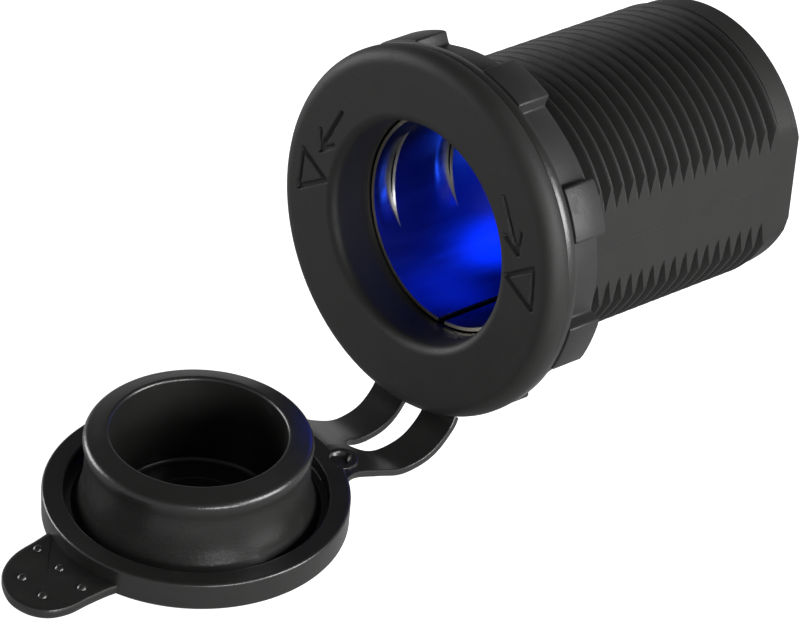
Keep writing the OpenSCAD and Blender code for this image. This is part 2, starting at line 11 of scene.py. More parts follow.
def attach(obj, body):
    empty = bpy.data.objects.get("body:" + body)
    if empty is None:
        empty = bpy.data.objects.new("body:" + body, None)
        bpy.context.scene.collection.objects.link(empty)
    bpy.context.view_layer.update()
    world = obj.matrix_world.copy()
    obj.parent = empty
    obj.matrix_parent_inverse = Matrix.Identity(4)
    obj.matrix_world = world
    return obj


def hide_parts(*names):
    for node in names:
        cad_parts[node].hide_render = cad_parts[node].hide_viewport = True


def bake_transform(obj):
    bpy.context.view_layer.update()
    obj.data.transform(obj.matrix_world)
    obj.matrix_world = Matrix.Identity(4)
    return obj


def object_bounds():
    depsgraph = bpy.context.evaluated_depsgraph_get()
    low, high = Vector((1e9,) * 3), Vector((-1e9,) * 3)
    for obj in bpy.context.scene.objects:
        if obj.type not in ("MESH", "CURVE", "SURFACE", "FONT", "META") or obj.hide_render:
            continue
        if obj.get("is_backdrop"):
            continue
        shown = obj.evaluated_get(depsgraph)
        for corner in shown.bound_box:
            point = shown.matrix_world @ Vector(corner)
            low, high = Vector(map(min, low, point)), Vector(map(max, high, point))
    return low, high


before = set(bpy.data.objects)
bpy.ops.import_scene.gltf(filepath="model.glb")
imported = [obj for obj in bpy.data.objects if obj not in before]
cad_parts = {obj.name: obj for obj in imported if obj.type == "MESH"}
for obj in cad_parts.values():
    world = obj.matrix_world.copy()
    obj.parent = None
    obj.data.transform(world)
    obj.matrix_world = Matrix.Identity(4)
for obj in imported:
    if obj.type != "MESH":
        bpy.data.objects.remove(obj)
cad_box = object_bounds()

# Socket moulding: flange, mouth and threaded barrel with two flats, in one shot of glass-filled plastic.
# A fine parting line runs down the middle of each flat. The arrows and triangles are engraved by the tool.
# Sizes are in mm and angles in degrees, here and in every section below.
MM = 0.001
FACE_Y = -3.5
FLANGE_R, FLANGE_ROUND, FLANGE_BACK = 18.7, 1.6, -1.2
MOUTH_R, MOUTH_ROUND, MOUTH_END = 11.3, 1.0, 1.6
LIP_FROM, FLAT_FROM, FLAT_TO, RING_STEP = 11.95, 12.3, 16.7, 0.08
MARKED_FROM, MARKED_TO, FINE_TURN, COARSE_TURN = 47, 99, 0.25, 2
MARK_W, MARK_DEPTH, MARK_EDGE, MARKS_IN, MARKS_OUT = 0.46, 0.32, 0.14, 12, 16.8
ARROW_R, ARROW_TAIL, ARROW_TIP, HEAD_L, HEAD_TURN = 14.1, 52, 75, 2.2, 30
TRIANGLE = ((12.45, 86), (16.1, 79.4), (16.1, 94.6))
THREAD_R, THREAD_DEPTH, PITCH, CREST_W, ROOT_W = 14.29, 0.97, 1.5875, 0.26, 0.3
CREST_IN, CREST_OUT, CREST_SHARE = 0.05, 0.03, 0.94
THREAD_END, BODY_END, BAND_R, BAND_EDGE = 34.4, 36.5, 14.05, 0.12
FLAT_X, PARTING_UP, PARTING_W, HAIR = 12.72, 0.04, 0.1, 1e-6
POCKET_R, WALL_Y, WALL_BACK, CHAMBER_R = 11.6, 30.0, 31.5, 11.8
FLAT_SHARES, INNER_EDGE, CURVE_POINTS = (0.3, 0.6, 0.85, 1), 20, 24
SCUFF_FROM, SCUFF_TO, GRAIN_DEPTH = 0.58, 0.75, 0.05
SOCKET_DARK, SOCKET_LIGHT = (0.0105, 0.0105, 0.01), (0.016, 0.016, 0.0154)


def skin(rings, closed=True):
    """Points and faces of a surface through rings of equally many points; a ring of one point is a pole."""
    points, faces, starts = [], [], []
    for ring in rings:
        starts.append(len(points))
        points.extend(tuple(float(c) for c in p) for p in ring)
    for a, b, ring_a, ring_b in zip(starts, starts[1:], rings, rings[1:]):
        count = max(len(ring_a), len(ring_b))
        if count == 1:
            continue
        for i in range(count if closed else count - 1):
            j = (i + 1) % count
            if len(ring_a) == 1:
                faces.append((a, b + j, b + i))
            elif len(ring_b) == 1:
                faces.append((a + i, a + j, b))
            else:
                faces.append((a + i, a + j, b + j, b + i))
    return points, faces


def piece(name, *shells, sharp=35, scale=MM):
    """A mesh object from shells of points and faces, with its doubles merged and its normals outward."""
    mesh = bpy.data.meshes.new(name)
    soup = bmesh.new()
    for points, faces in shells:
        part = bpy.data.meshes.new("part")
        part.from_pydata(points, [], faces)
        alone = bmesh.new()
        alone.from_mesh(part)
        bmesh.ops.remove_doubles(alone, verts=alone.verts, dist=2e-4)
        bmesh.ops.dissolve_degenerate(alone, edges=alone.edges, dist=1e-4)
        bmesh.ops.recalc_face_normals(alone, faces=alone.faces)
        alone.to_mesh(part)
        alone.free()
        soup.from_mesh(part)
        bpy.data.meshes.remove(part)
    soup.to_mesh(mesh)
    soup.free()
    made = bpy.data.objects.new(name, mesh)
    made.data.transform(Matrix.Scale(scale, 4))
    bpy.context.scene.collection.objects.link(made)
    smooth(made, sharp)
    return made


def smooth(made, sharp):
    """Smooth shading, with the edges sharper than an angle kept crisp."""
    made.data.shade_smooth()
    made.data.set_sharp_from_angle(angle=math.radians(sharp))


def arc(x, y, r, start, end, steps):
    """Points of an arc round (x, y), from one angle to another."""
    turns = [math.radians(start + (end - start) * i / steps) for i in range(steps + 1)]
    return [(x + r * math.cos(a), y + r * math.sin(a)) for a in turns]


def on_face(r, degrees):
    """A point of the face by its radius and its angle from the top towards +X."""
    return np.array([r * math.sin(math.radians(degrees)), r * math.cos(math.radians(degrees))])


def mark_strokes():
    """The strokes of the arrow and the triangle on each side of the face."""
    strokes = []
    for side in (-1, 1):
        tail, tip = on_face(ARROW_R, side * ARROW_TAIL), on_face(ARROW_R, side * ARROW_TIP)
        way = (tail - tip) / np.linalg.norm(tail - tip)
        strokes.append((tail, tip))
        for turn in (-HEAD_TURN, HEAD_TURN):
            c, s = math.cos(math.radians(turn)), math.sin(math.radians(turn))
            barb = np.array([way[0] * c - way[1] * s, way[0] * s + way[1] * c])
            strokes.append((tip, tip + HEAD_L * barb))
        corners = [on_face(r, side * degrees) for r, degrees in TRIANGLE]
        strokes += zip(corners, corners[1:] + corners[:1])
    return strokes


def mark_sink(x, z):
    """How far the face lies sunk at the points (x, z)."""
    nearest = np.full(len(x), np.inf)
    for start, end in mark_strokes():
        along = end - start
        t = np.clip(((x - start[0]) * along[0] + (z - start[1]) * along[1]) / (along @ along), 0, 1)
        nearest = np.minimum(nearest, np.hypot(x - start[0] - t * along[0], z - start[1] - t * along[1]))
    t = np.clip((MARK_W / 2 + MARK_EDGE / 2 - nearest) / MARK_EDGE, 0, 1)
    return MARK_DEPTH * t * t * (3 - 2 * t)


def flange_shell():
    """The flange with its mouth's edge, turned from one profile, in fine steps where the marks are."""
    fine = np.arange(MARKED_FROM, MARKED_TO, FINE_TURN)
    top = np.arange(1 - MARKED_FROM, MARKED_FROM, COARSE_TURN)
    bottom = np.arange(MARKED_TO, 361 - MARKED_TO, COARSE_TURN)
    turns = np.radians(np.concatenate([top, fine, bottom, 360 - fine[::-1]]))
    mouth = arc(MOUTH_R + MOUTH_ROUND, FACE_Y + MOUTH_ROUND, MOUTH_ROUND, 180, 246, 8)
    lip = [(r, FACE_Y + MOUTH_ROUND - math.sqrt(max(0, MOUTH_ROUND**2 - (MOUTH_R + MOUTH_ROUND - r) ** 2)))
           for r in np.arange(LIP_FROM, FLAT_FROM, RING_STEP)]
    flat = [(r, FACE_Y) for r in np.arange(FLAT_FROM, FLAT_TO, RING_STEP)]
    edge = arc(FLANGE_R - FLANGE_ROUND, FACE_Y + FLANGE_ROUND, FLANGE_ROUND, 270, 360, 12)
    back = [(FLANGE_R - inset, FLANGE_BACK - along) for inset, along in ((0, 0.3), (0.06, 0.12), (0.2, 0))]
    profile = [(MOUTH_R, FLANGE_BACK)] + mouth + lip + flat + edge + back + [(MOUTH_R, FLANGE_BACK)]
    rings = []
    for r, y in profile:
        x, z = r * np.sin(turns), r * np.cos(turns)
        marked = MARKS_IN < r < MARKS_OUT and y < FACE_Y + MOUTH_ROUND
        sink = mark_sink(x, z) if marked else np.zeros(len(x))
        rings.append(np.stack([x, y + sink, z], axis=1))
    return skin(rings)


def barrel_ring(r, y, helix=False):
    """One ring of the barrel at radius r, cut off by the flats, with points exactly on the flats' edges."""
    edge = math.acos(FLAT_X / r) if r > FLAT_X else math.radians(INNER_EDGE)
    reach = FLAT_X * math.tan(edge)
    if r > FLAT_X:
        ridge = FLAT_X + PARTING_UP
        flat = [(ridge, 0), (ridge, PARTING_W / 2), (FLAT_X, PARTING_W)]
        flat += [(FLAT_X, PARTING_W + (reach - PARTING_W) * share) for share in FLAT_SHARES]
    else:
        steps = 2 + len(FLAT_SHARES)
        flat = [(r * math.cos(edge * k / steps), r * math.sin(edge * k / steps)) for k in range(steps + 1)]
    curve = [(r * math.cos(a), r * math.sin(a)) for a in np.linspace(edge, math.pi / 2, CURVE_POINTS + 1)[1:]]
    quarter = flat + curve
    half = quarter + [(-x, z) for x, z in quarter[-2::-1]]
    around = half + [(x, -z) for x, z in half[-2::-1]]
    ring = []
    for k, (x, z) in enumerate(around):
        turn = 2 * math.pi if k == len(around) - 1 else math.atan2(z, x) % (2 * math.pi)
        level = min(max(y - PITCH * turn / (2 * math.pi), FLANGE_BACK), THREAD_END) if helix else y
        ring.append((x, level, z))
    return ring


def barrel_rings():
    """The threaded barrel to its end, then the chamber, the inner wall, the pocket and the mouth."""
    root, flank = THREAD_R - THREAD_DEPTH, (PITCH - CREST_W - ROOT_W) / 2
    crest = ROOT_W / 2 + flank
    crest_end = crest + CREST_W
    turn = [(-ROOT_W / 2, 0), (ROOT_W / 2, 0)] + [(ROOT_W / 2 + flank * t, t) for t in (0.25, 0.5, 0.75)]
    turn += [(crest - CREST_OUT, CREST_SHARE), (crest + CREST_IN, 1)]
    turn += [(crest_end - CREST_IN, 1), (crest_end + CREST_OUT, CREST_SHARE)]
    turn += [(crest_end + flank * t, 1 - t) for t in (0.25, 0.5, 0.75)]
    foot, band = barrel_ring(root, FLANGE_BACK), barrel_ring(BAND_R, THREAD_END)
    rings = []
    for k in range(-1, int(THREAD_END / PITCH) + 3):
        for along, share in turn:
            ring = barrel_ring(root + THREAD_DEPTH * share, k * PITCH + along, helix=True)
            for i, (x, y, z) in enumerate(ring):
                if y >= THREAD_END - HAIR:
                    ring[i] = band[i]
                elif y <= FLANGE_BACK + HAIR:
                    ring[i] = foot[i]
            rings.append(ring)
    back = [(BAND_R, BODY_END - BAND_EDGE), (BAND_R - BAND_EDGE, BODY_END), (CHAMBER_R, BODY_END),
            (CHAMBER_R, WALL_BACK)]
    well = [(POCKET_R, WALL_Y), (POCKET_R, MOUTH_END), (MOUTH_R, MOUTH_END), (MOUTH_R, FLANGE_BACK)]
    rings = [foot] + rings + [barrel_ring(r, y) for r, y in back] + [[(0, WALL_BACK, 0)], [(0, WALL_Y, 0)]]
    return rings + [barrel_ring(r, y) for r, y in well] + [foot]


def surface_group():
    """Fine spark-eroded grain of a moulding: a height for Bump, a slow mottle and a roughness mask."""
    tree = bpy.data.node_groups.new("moulded_surface", "ShaderNodeTree")
    for label, value in (("Grain size", 0.25), ("Mottle size", 4.0)):
        tree.interface.new_socket(label, in_out="INPUT", socket_type="NodeSocketFloat").default_value = value
    for label in ("Height", "Mottle", "Scuff"):
        tree.interface.new_socket(label, in_out="OUTPUT", socket_type="NodeSocketFloat")
    node = tree.nodes.new
    given, out, place = node("NodeGroupInput"), node("NodeGroupOutput"), node("ShaderNodeTexCoord")
    link = tree.links.new

    def noise(label, detail, rough):
        """Noise whose features have the size, in mm, that the group's input gives."""
        scale = node("ShaderNodeMath")
        scale.operation = "DIVIDE"
        scale.inputs[0].default_value = 1 / MM
        link(given.outputs[label], scale.inputs[1])
        made = node("ShaderNodeTexNoise")
        made.inputs["Detail"].default_value = detail
        made.inputs["Roughness"].default_value = rough
        link(place.outputs["Object"], made.inputs["Vector"])
        link(scale.outputs[0], made.inputs["Scale"])
        return made

    grain, mottle = noise("Grain size", 3, 0.6), noise("Mottle size", 4, 0.6)
    scuff = node("ShaderNodeMapRange")
    scuff.inputs["From Min"].default_value, scuff.inputs["From Max"].default_value = SCUFF_FROM, SCUFF_TO
    link(mottle.outputs["Fac"], scuff.inputs["Value"])
    link(grain.outputs["Fac"], out.inputs["Height"])
    link(mottle.outputs["Fac"], out.inputs["Mottle"])
    link(scuff.outputs["Result"], out.inputs["Scuff"])
    return tree


SURFACE = surface_group()


def new_material(name):
    """A material, its node tree and its shader."""
    made = bpy.data.materials.new(name)
    made.use_nodes = True
    return made, made.node_tree, made.node_tree.nodes["Principled BSDF"]


def two_tones(tree, dark, light):
    """A node that mixes two colours by its Factor."""
    tone = tree.nodes.new("ShaderNodeMix")
    tone.data_type = "RGBA"
    tone.inputs["A"].default_value, tone.inputs["B"].default_value = (*dark, 1), (*light, 1)
    return tone


def between(tree, low, high):
    """A node that turns a value from 0 to 1 into one from low to high."""
    span = tree.nodes.new("ShaderNodeMapRange")
    span.inputs["To Min"].default_value, span.inputs["To Max"].default_value = low, high
    return span


def moulding(name, dark, light, rough, grain, mottle, bump, level=0.5, metallic=0):
    """Two tones mixed by the mottle, roughness by the scuffs and a fine grain in the bump."""
    made, tree, shader = new_material(name)
    shader.inputs["Specular IOR Level"].default_value = level
    shader.inputs["Metallic"].default_value = metallic
    surface = tree.nodes.new("ShaderNodeGroup")
    surface.node_tree = SURFACE
    surface.inputs["Grain size"].default_value = grain
    surface.inputs["Mottle size"].default_value = mottle
    tone, shine, bumps = two_tones(tree, dark, light), between(tree, *rough), tree.nodes.new("ShaderNodeBump")
    bumps.inputs["Strength"].default_value, bumps.inputs["Distance"].default_value = bump, GRAIN_DEPTH * MM
    link = tree.links.new
    link(surface.outputs["Mottle"], tone.inputs["Factor"])
    link(tone.outputs["Result"], shader.inputs["Base Color"])
    link(surface.outputs["Scuff"], shine.inputs["Value"])
    link(shine.outputs["Result"], shader.inputs["Roughness"])
    link(surface.outputs["Height"], bumps.inputs["Height"])
    link(bumps.outputs["Normal"], shader.inputs["Normal"])
    return made


def dress(made, material, body, slot, *nodes):
    """Gives a piece its material and body, and hides the CAD nodes that it stands for. The slot is not used."""
    made.data.materials.clear()
    made.data.materials.append(material)
    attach(made, body)
    if nodes:
        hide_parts(*nodes)


SOCKET_PLASTIC = moulding("socket_plastic", SOCKET_DARK, SOCKET_LIGHT,
                          rough=(0.55, 0.66), grain=0.16, mottle=3.0, bump=0.5, level=0.3)
socket = piece("socket_moulding", flange_shell(), skin(barrel_rings(), closed=False))
dress(socket, SOCKET_PLASTIC, "socket", "body_plastic", "socket_body")


# Rear cover: a plate with a collar that snaps into the chamber, with a slot for each blade.
# It is the same plastic as the socket, and its shape is the CAD's.
def keep_node(node, material):
    """Keeps a CAD node's own shape and gives it a finished material."""
    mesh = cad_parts[node].data
    mesh.materials.clear()
    mesh.materials.append(material)


keep_node("rear_cover", SOCKET_PLASTIC)

# Ring nut: a moulded nut with eight square lugs for the fingers, screwed up behind the panel.
# Its corners carry small radii from the tool. Each edge is given by its inset and its distance from the face.
NUT_FRONT, NUT_T, NUT_RING_R, NUT_LUG_R, NUT_BORE = 0.05, 4.2, 17.3, 18.7, 14.44
NUT_FRONT_EDGE, NUT_BACK_EDGE = ((0.22, 0), (0.07, 0.06), (0, 0.22)), ((0, 0.3), (0.09, 0.09), (0.3, 0))
BORE_FRONT_EDGE, BORE_BACK_EDGE = 0.3, 0.4
LUGS, LUG_W, LUG_TURN, LUG_CORNER, GAP_START, GAP_STEPS = 8, 5.5, 19.5, 0.25, 0.01, 12
NUT_DARK, NUT_LIGHT = (0.014, 0.0143, 0.014), (0.021, 0.0214, 0.021)


def nut_outline(inset):
    """The nut's outline, inset evenly, with a small radius at each corner of a lug."""
    outer, inner, half = NUT_LUG_R - inset, NUT_RING_R - inset, LUG_W / 2 - inset
    foot, top = math.sqrt(inner**2 - half**2), math.sqrt(outer**2 - half**2)
    side = []
    for turn in np.radians((0, 30, 60, 90)):
        side.append((half + LUG_CORNER * (1 - math.sin(turn)), foot + LUG_CORNER * (1 - math.cos(turn))))
    side.append((half, (foot + top) / 2))
    for turn in np.radians((0, 22, 45, 67, 90)):
        side.append((half - LUG_CORNER * (1 - math.cos(turn)), top - LUG_CORNER * (1 - math.sin(turn))))
    side += [(half * t, math.sqrt(outer**2 - (half * t) ** 2)) for t in (0.75, 0.5, 0.25, 0)]
    lug = [(-s, h) for s, h in side] + [(s, h) for s, h in side[-2::-1]]
    end = math.atan2(half + LUG_CORNER, foot) + GAP_START
    gap = 2 * math.pi / LUGS - 2 * end
    outline = []
    for k in range(LUGS):
        middle = math.radians(LUG_TURN + 360 / LUGS * k)
        across = np.array([math.cos(middle), -math.sin(middle)])
        away = np.array([math.sin(middle), math.cos(middle)])
        outline += [across * s + away * h for s, h in lug]
        for step in range(1, GAP_STEPS):
            turn = middle + end + gap * step / GAP_STEPS
            outline.append(np.array([inner * math.sin(turn), inner * math.cos(turn)]))
    return np.array(outline)


def nut_rings():
    """The nut's section, as rings of equally many points from the bore round the outside and back."""
    outline = nut_outline(0)
    turns = np.arctan2(outline[:, 1], outline[:, 0])

    def bore(r, y):
        return np.stack([r * np.cos(turns), np.full(len(turns), y), r * np.sin(turns)], axis=1)

    def edge(inset, y):
        rim = nut_outline(inset)
        return np.stack([rim[:, 0], np.full(len(rim), y), rim[:, 1]], axis=1)

    front, back = NUT_FRONT, NUT_FRONT + NUT_T
    rings = [bore(NUT_BORE, front + BORE_FRONT_EDGE), bore(NUT_BORE + BORE_FRONT_EDGE, front)]
    rings += [edge(inset, front + along) for inset, along in NUT_FRONT_EDGE]
    rings += [edge(inset, back - along) for inset, along in NUT_BACK_EDGE]
    rings += [bore(NUT_BORE + BORE_BACK_EDGE, back), bore(NUT_BORE, back - BORE_BACK_EDGE)]
    return rings + rings[:1]


NUT_PLASTIC = moulding("nut_plastic", NUT_DARK, NUT_LIGHT,
                       rough=(0.46, 0.6), grain=0.2, mottle=2.5, bump=0.45, level=0.35)
dress(piece("ring_nut", skin(nut_rings())), NUT_PLASTIC, "nut", "nut_plastic", "lock_nut")

# Contact shell: rolled nickel-plated brass sheet, with an open seam at the bottom and two pairs of slits.
# The sheet ahead of each slit is pressed outward, which shows the bare cut edge behind it as a bright arc.
SHELL_R, SHELL_T, SEAM, WELL_FRONT, SHELL_STEPS = 10.75, 0.35, 0.9, 1.7, 241
SLITS, DISH_L, DISH_DEPTH, DISH_HALF, DISH_ROWS, PLAIN_ROWS = (4.6, 12.7), 2.7, 0.48, 29, 16, 8
# The nickel's two tones carry a cool blue tint: painted reflection of the lamp's blue light in the well.
NICKEL_BLUE_CAST_DARK, NICKEL_BLUE_CAST_LIGHT, EDGE_DARK, EDGE_LIGHT = (
    (0.2, 0.22, 0.28), (0.32, 0.34, 0.4), (0.95, 0.86, 0.68), (1.0, 0.95, 0.84))
LINES_PER_M, LINE_DETAIL, LINE_BUMP, LINE_DEPTH, NICKEL_ROUGH = (900, 90, 900), 4, 0.12, 0.02, (0.19, 0.3)


def dish_depth(turn, ahead):
    """How far the sheet is pressed outward, at an angle from the slit's middle and a distance ahead of it."""
    spread = min(1, abs(turn) / DISH_HALF)
    rise = max(0.0, 1 - ahead / DISH_L)
    return DISH_DEPTH * (1 - spread**2) * rise * rise * (3 - 2 * rise)


def shell_sheet():
    """The middle of the rolled sheet; its rows stop at each slit and start again behind it."""
    mid = SHELL_R + SHELL_T / 2
    half_seam = math.degrees(SEAM / 2 / mid)
    turns = np.linspace(180 + half_seam, 540 - half_seam, SHELL_STEPS)
    levels, start = [], WELL_FRONT
    for slit in SLITS:
        dish = slit - DISH_L
        if start < dish:
            levels += [(y, None) for y in np.linspace(start, dish, PLAIN_ROWS)[:-1]]
        levels += [(y, slit) for y in np.linspace(max(start, dish), slit, DISH_ROWS)]
        levels.append((slit, None))
        start = slit
    levels += [(y, None) for y in np.linspace(start, WALL_Y, DISH_ROWS)[1:]]
    points, faces = [], []
    for y, slit in levels:
        for turn in turns:
            r = mid + (dish_depth(turn % 180 - 90, slit - y) if slit else 0)
            points.append((r * math.sin(math.radians(turn)), y, r * math.cos(math.radians(turn))))
    for row, (here, ahead) in enumerate(zip(levels, levels[1:])):
        if here[0] == ahead[0]:
            continue
        for i in range(SHELL_STEPS - 1):
            a, b = row * SHELL_STEPS + i, (row + 1) * SHELL_STEPS + i
            faces.append((a, a + 1, b + 1, b))
    return points, faces


def shell_metal():
    """Nickel plate in two grey tones with a painted blue tint for the lamp's reflected light, and faint drawing
    lines along the well.
    """
    made, tree, shader = new_material("nickel_plate")
    shader.inputs["Metallic"].default_value = 1
    place, stretch, lines, bumps = (tree.nodes.new("ShaderNode" + kind)
                                    for kind in ("TexCoord", "Mapping", "TexNoise", "Bump"))
    stretch.inputs["Scale"].default_value = LINES_PER_M
    lines.inputs["Scale"].default_value, lines.inputs["Detail"].default_value = 1, LINE_DETAIL
    tone, shine = two_tones(tree, NICKEL_BLUE_CAST_DARK, NICKEL_BLUE_CAST_LIGHT), between(tree, *NICKEL_ROUGH)
    bumps.inputs["Strength"].default_value, bumps.inputs["Distance"].default_value = LINE_BUMP, LINE_DEPTH * MM
    link = tree.links.new
    link(place.outputs["Object"], stretch.inputs["Vector"])
    link(stretch.outputs["Vector"], lines.inputs["Vector"])
    link(lines.outputs["Fac"], tone.inputs["Factor"])
    link(tone.outputs["Result"], shader.inputs["Base Color"])
    link(lines.outputs["Fac"], shine.inputs["Value"])
    link(shine.outputs["Result"], shader.inputs["Roughness"])
    link(lines.outputs["Fac"], bumps.inputs["Height"])
    link(bumps.outputs["Normal"], shader.inputs["Normal"])
    return made


def bake_modifiers(made):
    """Turns an object and its modifiers into a plain mesh."""
    mesh = bpy.data.meshes.new_from_object(made.evaluated_get(bpy.context.evaluated_depsgraph_get()))
    made.modifiers.clear()
    made.data = mesh


NICKEL = shell_metal()
CUT_EDGE = moulding("cut_sheet_edge", EDGE_DARK, EDGE_LIGHT,
                    rough=(0.3, 0.4), grain=0.3, mottle=1.0, bump=0.1, metallic=1)
shell = piece("contact_sleeve", shell_sheet())
shell.data.materials.append(NICKEL)
shell.data.materials.append(CUT_EDGE)
wall = shell.modifiers.new("sheet", "SOLIDIFY")
wall.thickness, wall.offset, wall.use_even_offset, wall.material_offset_rim = SHELL_T * MM, 0, True, 1
bake_modifiers(shell)
smooth(shell, sharp=40)
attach(shell, "socket")
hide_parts("contact_shell")

# Centre contact: a sheet button on a pressed-board washer, held by a rivet through the inner wall.
# The rivets and the button are brass; their washers, the lamp's leg and the resistor's lead are plain steel.
BRASS = moulding("contact_brass", (0.62, 0.45, 0.18), (0.8, 0.63, 0.3),
                 rough=(0.22, 0.4), grain=0.5, mottle=1.5, bump=0.15, metallic=1)
STEEL = moulding("plain_steel", (0.42, 0.42, 0.41), (0.6, 0.6, 0.58),
                 rough=(0.25, 0.45), grain=0.3, mottle=1.2, bump=0.2, metallic=1)
BOARD = moulding("pressed_board", (0.16, 0.06, 0.025), (0.3, 0.13, 0.05),
                 rough=(0.6, 0.8), grain=0.2, mottle=0.8, bump=0.6)
for name in ("centre_contact", "centre_rivet", "shell_rivet"):
    keep_node(name, BRASS)
for name in ("centre_washer", "shell_washer", "led_anode_leg", "resistor_lead"):
    keep_node(name, STEEL)
keep_node("centre_insulator", BOARD)

# Rear blades: tinned brass strip, 6.3 mm wide, for push-on terminals.
# Each has a latch hole and a foot under its rivet.
TIN = moulding("tinned_strip", (0.5, 0.48, 0.43), (0.7, 0.68, 0.62),
               rough=(0.28, 0.5), grain=0.4, mottle=2.0, bump=0.25, metallic=1)
keep_node("positive_blade", TIN)
keep_node("negative_blade", TIN)

# Lamp: a 3 mm blue lamp in the inner wall, with its resistor and an insulated wire to the negative blade.
# Two discs stand for its light in the well: a small one where the shell's reflections begin,
# and a wide weak one for what the inner wall throws back.
RESISTOR = moulding("resistor_lacquer", (0.4, 0.26, 0.12), (0.55, 0.38, 0.2),
                    rough=(0.25, 0.4), grain=0.5, mottle=1.0, bump=0.1)
WIRE = moulding("wire_sleeve", (0.012, 0.012, 0.012), (0.022, 0.022, 0.022),
                rough=(0.4, 0.5), grain=0.4, mottle=2.0, bump=0.1)
GLOW_Y, GLOW_BLUE, GLOW_PALE = 26.8, (0.0, 0.03, 1.0), (0.05, 0.2, 1.0)
LENS_DARK, LENS_LIGHT, LENS_ROUGH, LENS_POWER = (0.01, 0.05, 0.7), (0.03, 0.12, 0.9), 0.15, 6
CLOUDS_PER_M = 700
keep_node("led_resistor", RESISTOR)
keep_node("led_wire", WIRE)


def lamp_lens():
    """Clear blue lens that glows, in tones that a slow cloud mixes."""
    made, tree, shader = new_material("lamp_lens")
    shader.inputs["Roughness"].default_value = LENS_ROUGH
    shader.inputs["Emission Strength"].default_value = LENS_POWER
    place, cloud = tree.nodes.new("ShaderNodeTexCoord"), tree.nodes.new("ShaderNodeTexNoise")
    cloud.inputs["Scale"].default_value = CLOUDS_PER_M
    tree.links.new(place.outputs["Object"], cloud.inputs["Vector"])
    for label, dark, light in (("Emission Color", GLOW_BLUE, GLOW_PALE), ("Base Color", LENS_DARK, LENS_LIGHT)):
        tone = two_tones(tree, dark, light)
        tree.links.new(cloud.outputs["Fac"], tone.inputs["Factor"])
        tree.links.new(tone.outputs["Result"], shader.inputs[label])
    return made


def glow(name, x, z, across, power):
    """A disc of blue light that faces out of the well."""
    light = bpy.data.lights.new(name, "AREA")
    light.shape, light.size, light.color, light.energy = "DISK", across * MM, GLOW_BLUE, power
    made = bpy.data.objects.new(name, light)
    made.location = Vector((x, GLOW_Y, z)) * MM
    made.rotation_euler = (math.radians(-90), 0, 0)
    bpy.context.scene.collection.objects.link(made)


keep_node("led_lamp", lamp_lens())
glow("lamp_glow", x=-2.1, z=4.8, across=8, power=0.00085)
glow("wall_glow", x=0, z=0, across=18, power=0.0005)

# Cap ring: the part of the soft cap's one moulding that is clamped behind the flange.
# It is flat, with a small radius on its outer edge.
SEAT_Y, RING_T, RING_R, RING_BORE, RING_EDGE, RING_EDGE_MID = 0.0, 1.2, 18.55, 14.49, 0.2, 0.06
CAP_DARK, CAP_LIGHT = (0.008, 0.008, 0.0076), (0.013, 0.013, 0.0124)


def ring_rings():
    """The ring's section, turned about the socket's axis."""
    turns = np.radians(np.arange(0, 360, 2.0))
    front = SEAT_Y - RING_T
    profile = [(RING_BORE, front), (RING_BORE, SEAT_Y), (RING_R - RING_EDGE, SEAT_Y),
               (RING_R - RING_EDGE_MID, SEAT_Y - RING_EDGE_MID), (RING_R, SEAT_Y - RING_EDGE),
               (RING_R, front + RING_EDGE), (RING_R - RING_EDGE_MID, front + RING_EDGE_MID),
               (RING_R - RING_EDGE, front)]
    return [np.stack([r * np.sin(turns), np.full(len(turns), y), r * np.cos(turns)], axis=1)
            for r, y in profile + profile[:1]]


SOFT_BLACK = moulding("soft_black", CAP_DARK, CAP_LIGHT,
                      rough=(0.3, 0.42), grain=0.3, mottle=3.0, bump=0.35, level=0.6)
dress(piece("cap_clamp_ring", skin(ring_rings())), SOFT_BLACK, "socket", "cap_rubber", "cap_ring")

# Dust cap: a disc of soft plastic with a raised rim and a cup that snaps into the mouth, and a pull tab.
# A lobe at the straps' root carries the small pit of the sprue. Sizes are in the open cap's own frame.
CAP_OPEN, CAP_ROLL, CAP_MID = math.radians(97.3), math.radians(4.7), np.array([-0.8, -29.6, -20.1])
CAP_SIDE = np.array([math.cos(CAP_ROLL), 0, -math.sin(CAP_ROLL)])
CAP_BACK = np.array([-math.sin(CAP_ROLL) * math.cos(CAP_OPEN), math.sin(CAP_OPEN),
                     -math.cos(CAP_ROLL) * math.cos(CAP_OPEN)])
CAP_UP = np.array([math.sin(CAP_ROLL) * math.sin(CAP_OPEN), math.cos(CAP_OPEN),
                   math.cos(CAP_ROLL) * math.sin(CAP_OPEN)])
DISC_R, DISC_FOOT_R, DISC_T, DISC_ROUND, RIM_ROUND = 14.85, 14.3, 3.15, 0.5, 0.3
RIM_IN, RIM_IN_ROUND, CHANNEL, CHANNEL_EDGE = 12.75, 0.25, 1.5, 0.15
CUP_OUTSIDE = [(12.02, -1.5), (11.92, -1.38), (11.78, -1.2), (11.5, -0.8), (11.28, -0.2), (11.1, 0.5),
               (10.98, 1.2), (10.9, 2.0), (10.86, 2.8), (10.84, 3.6), (10.86, 4.3), (10.93, 4.9),
               (11.02, 5.35)]
LIP_MID, LIP_ROUND, LIP_TOP = (10.35, 5.8), 0.7, [(9.9, 6.68), (9.3, 6.86), (8.85, 6.97)]
LIP_IN_MID, LIP_IN_ROUND = (8.87, 6.62), 0.35
CUP_INSIDE = [(8.47, 5.5), (8.4, 3.5), (8.3, 0.5), (8.2, -2.0), (8.12, -2.3), (7.95, -2.48), (7.7, -2.55),
              (5.4, -2.55), (5.3, -2.6), (5.2, -2.65), (0, -2.65)]
TAB_LOW, TAB_T, TAB_EDGE, SLAB_RING, EDGE_MID = -2.95, 1.15, 0.35, 0.2, 0.3
